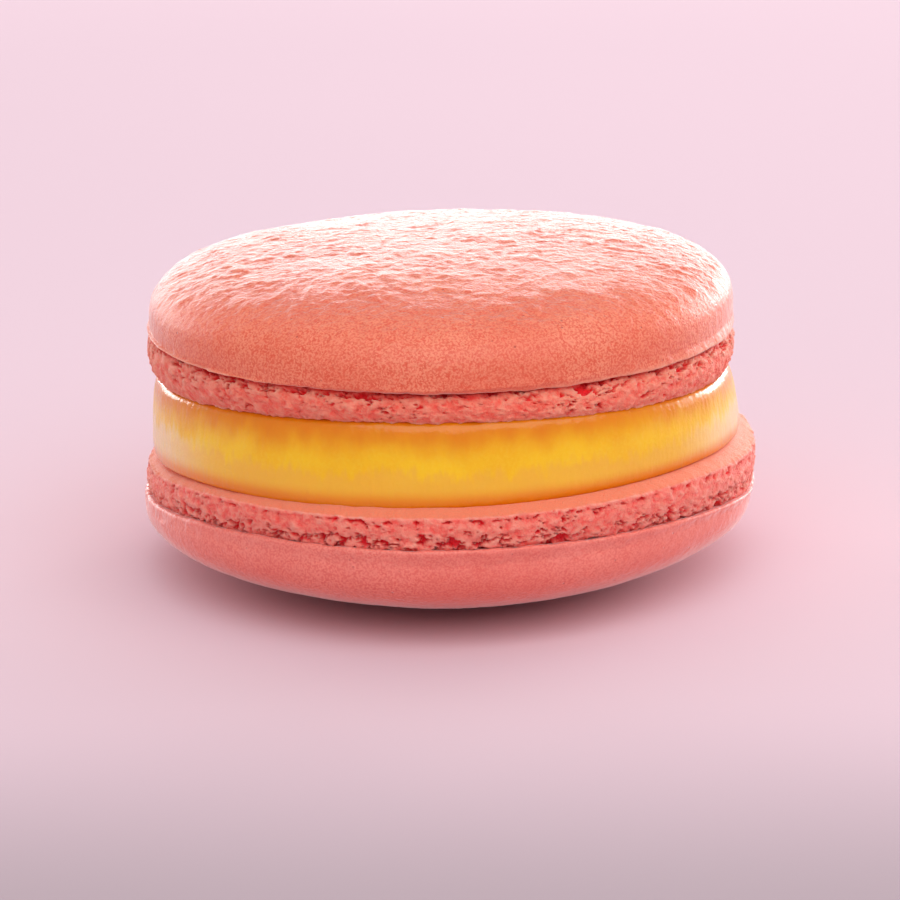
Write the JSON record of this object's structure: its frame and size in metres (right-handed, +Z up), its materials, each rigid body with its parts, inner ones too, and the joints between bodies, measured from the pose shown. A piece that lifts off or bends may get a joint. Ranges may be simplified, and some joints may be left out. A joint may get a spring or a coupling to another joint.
{
  "type": "french macaron",
  "caption": "Round sandwich biscuit: two smooth domed almond shells with ruffled feet, joined by a thick glossy yellow curd filling.",
  "frame": {"origin": "under the middle of the whole macaron, on the surface that it rests on", "axes": "+Z up through the stack from the bottom shell to the top shell; -Y is the front; +X is to the right"},
  "size_m": [0.0454, 0.0454, 0.0241],
  "materials": {
    "shell_upper": "baked almond meringue, coral pink, matt with fine grain",
    "shell_lower": "baked almond meringue, coral pink, matt with fine grain",
    "filling": "smooth wet curd, mango yellow, glossy"
  },
  "bodies": {
    "root": {"shell_bottom": "shell_lower", "filling": "filling", "shell_top": "shell_upper"}
  },
  "joints": []
}
